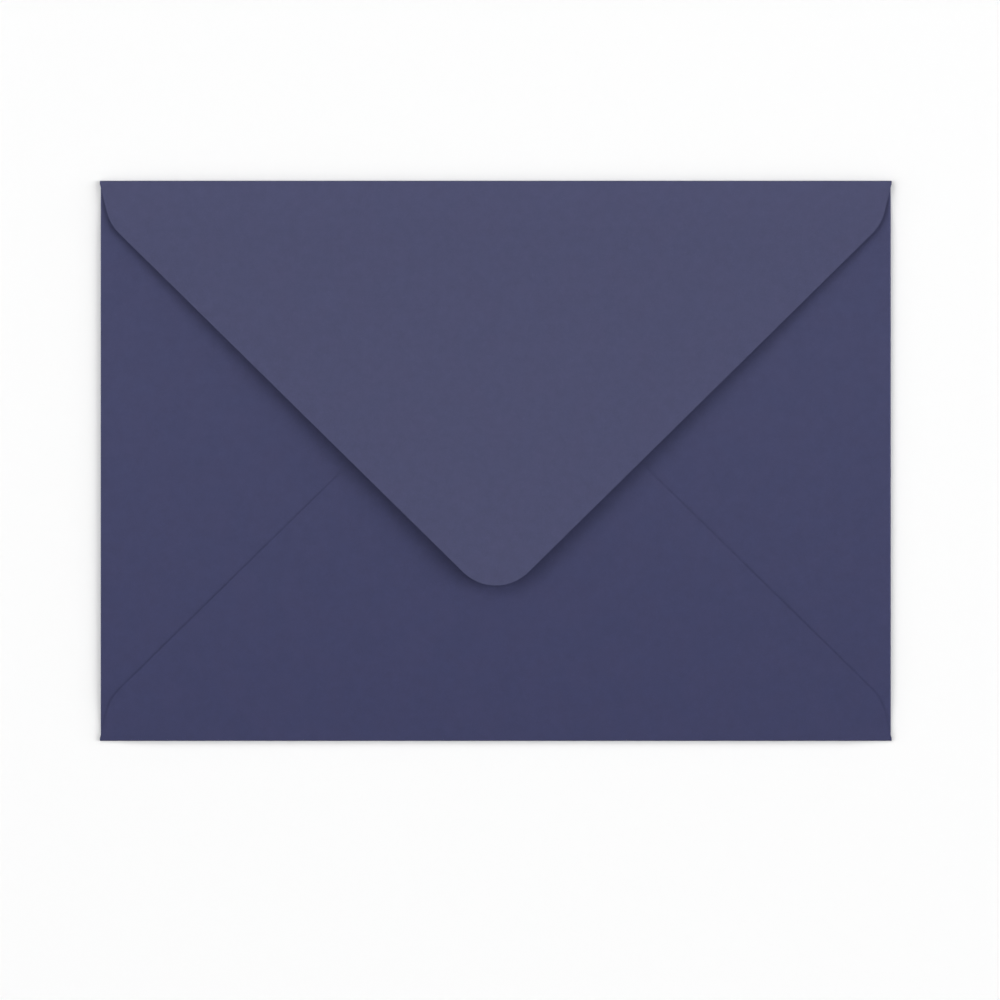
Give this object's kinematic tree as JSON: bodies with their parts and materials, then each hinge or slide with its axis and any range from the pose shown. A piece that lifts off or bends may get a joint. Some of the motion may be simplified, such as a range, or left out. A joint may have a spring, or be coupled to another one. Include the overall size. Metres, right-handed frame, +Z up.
{
  "type": "paper envelope",
  "caption": "Closed pocket envelope folded from one sheet of dyed paper, with deep pointed flaps; the seal flap is unstuck and arches clear of the flaps below.",
  "frame": {"origin": "middle of the outline, on the surface that the envelope's address side lies on", "axes": "+X along the long edges, +Y towards the seal flap's fold, +Z up, out of the side with the flaps"},
  "size_m": [0.229, 0.162, 0.0059],
  "materials": {
    "dyed_paper": "matt navy paper, dyed through, with a fine wove tooth"
  },
  "bodies": {
    "root": {"envelope": "dyed_paper"}
  },
  "joints": []
}
